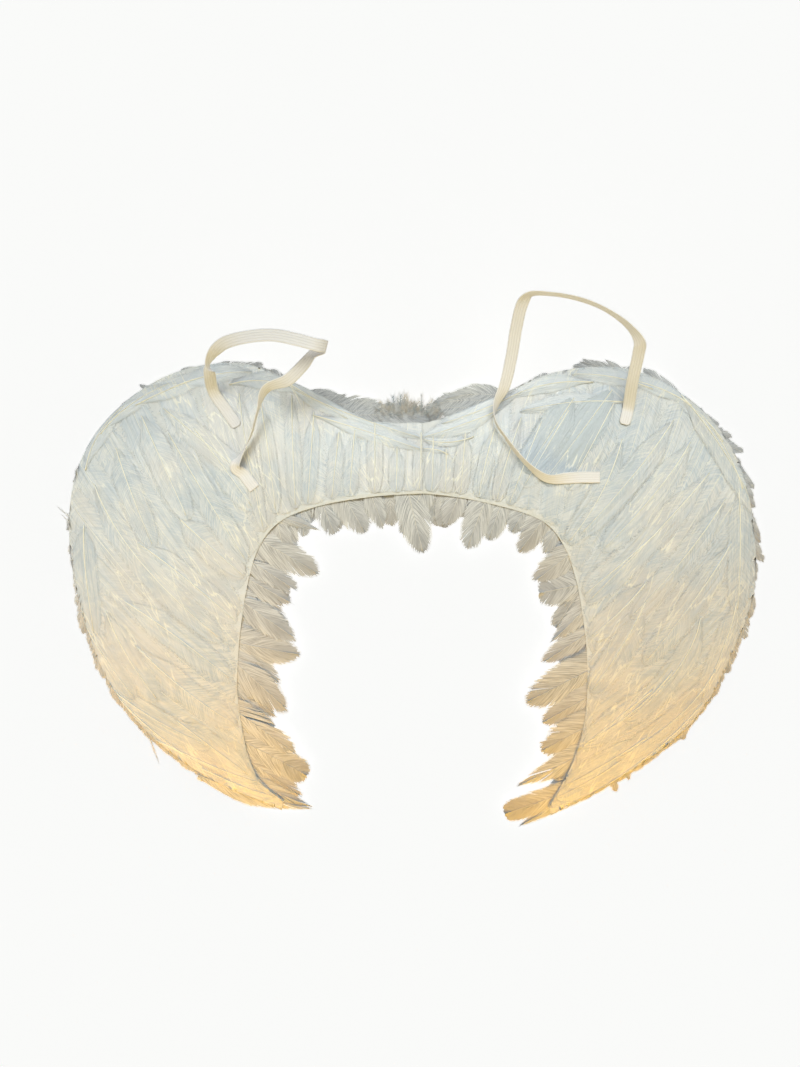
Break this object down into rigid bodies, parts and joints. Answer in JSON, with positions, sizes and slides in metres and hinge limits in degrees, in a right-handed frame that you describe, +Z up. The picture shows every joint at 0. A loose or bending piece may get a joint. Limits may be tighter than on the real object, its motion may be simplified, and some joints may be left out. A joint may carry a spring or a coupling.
{
  "type": "feathered costume angel wings",
  "caption": "Feathered angel wings for a costume, two crescents joined by a bridge, with elastic shoulder straps.",
  "frame": {"origin": "on the surface that the wings lie on, under the middle of the part's box", "axes": "+X from the left wing to the right one as seen from the wearer's side, +Y from the wing tips to the shoulders, +Z up, away from the surface and towards the wearer's back"},
  "size_m": [0.606, 0.4484, 0.0988],
  "materials": {
    "film": "thin white non-woven film, slightly see-through, matt",
    "back_vane": "white flat feathers with cream quills, soft sheen",
    "front_vane": "off-white feathers with grey and fawn tips",
    "down": "fluffy grey-brown down",
    "elastic": "white elastic webbing, ribbed lengthwise"
  },
  "bodies": {
    "root": {"left_backing": "film", "right_backing": "film", "left_back_feathers": "back_vane", "right_back_feathers": "back_vane", "left_edge_feathers": "back_vane", "right_edge_feathers": "back_vane", "left_flight_feathers": "front_vane", "right_flight_feathers": "front_vane", "left_middle_feathers": "front_vane", "right_middle_feathers": "front_vane", "left_covert_feathers": "front_vane", "right_covert_feathers": "front_vane", "bridge_feathers": "front_vane", "centre_fluff": "down", "left_strap": "elastic", "right_strap": "elastic"}
  },
  "joints": []
}
